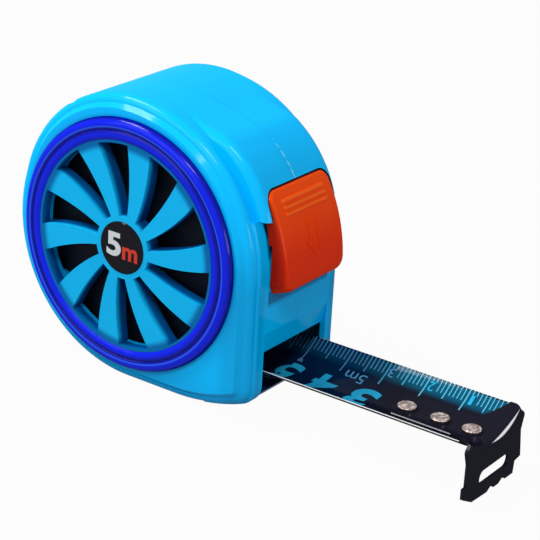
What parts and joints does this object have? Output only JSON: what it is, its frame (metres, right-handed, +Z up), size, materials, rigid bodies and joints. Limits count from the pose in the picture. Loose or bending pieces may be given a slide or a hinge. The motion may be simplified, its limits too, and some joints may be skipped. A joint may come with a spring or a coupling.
{
  "type": "pocket tape measure",
  "caption": "Round-cased pocket tape measure with a spoked side cover, slide-down lock button, cupped blade drawn a little way out and a riveted end hook.",
  "frame": {"origin": "on the case's flat base, on the seam in the middle of the width, right under the blade wheel's axis", "axes": "+X is the way the blade comes out, +Z is up from the flat base, and the blade wheel turns about a line along Y; the spoked cover is on the -Y side"},
  "size_m": [0.1174, 0.0445, 0.0697],
  "materials": {
    "case_plastic": "moulded, glossy, bright sky blue",
    "ring_plastic": "moulded, high gloss, royal blue",
    "badge_film": "black domed label with a plain length numeral",
    "dark_plastic": "black moulded plastic",
    "bumper_plastic": "dark navy moulded plastic",
    "button_plastic": "moulded, semi-gloss, red orange",
    "blade_enamel": "spring steel, black enamel printed with a pale blue scale",
    "hook_enamel": "pressed steel, black enamel",
    "rivet_metal": "bright domed rivets",
    "clip_steel": "spring steel, black coated",
    "bright_steel": "bare steel",
    "spring_steel": "blued spring steel",
    "pad_rubber": "black rubber"
  },
  "bodies": {
    "case": {"case_left": "case_plastic", "case_right": "case_plastic", "ring_trim_left": "ring_plastic", "ring_trim_right": "ring_plastic", "wheel_cover_left": "case_plastic", "hub_badge": "badge_film", "inner_plate": "dark_plastic", "cover_right": "case_plastic", "belt_clip": "clip_steel", "belt_clip_screw": "bright_steel", "spindle": "bright_steel", "mouth_bumper": "bumper_plastic", "brake_pin": "bright_steel", "case_screws": "bright_steel", "blade_inner_run": "blade_enamel"},
    "blade_wheel": {"drum": "dark_plastic", "drum_cap": "dark_plastic", "mainspring": "spring_steel", "wound_blade": "blade_enamel"},
    "blade": {"blade": "blade_enamel", "hook_rivets": "rivet_metal"},
    "hook": {"hook": "hook_enamel"},
    "lock": {"lock_button": "button_plastic", "lock_slider": "button_plastic"},
    "brake": {"brake_lever": "dark_plastic", "brake_pad_left": "pad_rubber", "brake_pad_right": "pad_rubber"}
  },
  "joints": [
    {"name": "wheel_spin", "type": "hinge", "parent": "case", "child": "blade_wheel", "pos_m": [0, 0, 0.0323], "axis": [0, -1, 0], "range_deg": [-132.41, 0]},
    {"name": "blade_slide", "type": "slide", "parent": "case", "child": "blade", "axis": [1, 0, 0], "range_m": [-0.0483, 0]},
    {"name": "hook_play", "type": "slide", "parent": "blade", "child": "hook", "axis": [1, 0, 0], "range_m": [-0.001, 0]},
    {"name": "lock_slide", "type": "slide", "parent": "case", "child": "lock", "axis": [0, 0, -1], "range_m": [0, 0.003]},
    {"name": "brake_turn", "type": "hinge", "parent": "case", "child": "brake", "pos_m": [0.02, 0, 0.0158], "axis": [0, 1, 0], "range_deg": [0, 20.25]}
  ],
  "couplings": [
    {"joint": "blade_slide", "follows": "wheel_spin", "m_per_rad": 0.0209},
    {"joint": "brake_turn", "follows": "lock_slide", "rad_per_m": 117.6}
  ]
}
